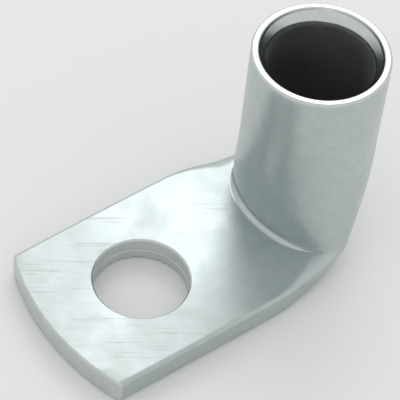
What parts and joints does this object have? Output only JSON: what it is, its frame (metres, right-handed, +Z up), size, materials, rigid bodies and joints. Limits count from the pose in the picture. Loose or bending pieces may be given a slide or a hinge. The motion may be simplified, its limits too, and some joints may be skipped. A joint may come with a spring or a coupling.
{
  "type": "right-angle tubular cable lug",
  "caption": "Right-angle tubular cable lug: a round open barrel folded into a flat palm with a stud hole and a curved end.",
  "frame": {"origin": "centre of the stud hole on the palm's contact face", "axes": "+Z up through the stud hole and along the barrel towards its mouth, +X towards the palm's free end"},
  "size_m": [0.0405, 0.0208, 0.0262],
  "materials": {
    "tinned_copper": "satin tin plate"
  },
  "bodies": {
    "root": {"cable_lug": "tinned_copper"}
  },
  "joints": []
}
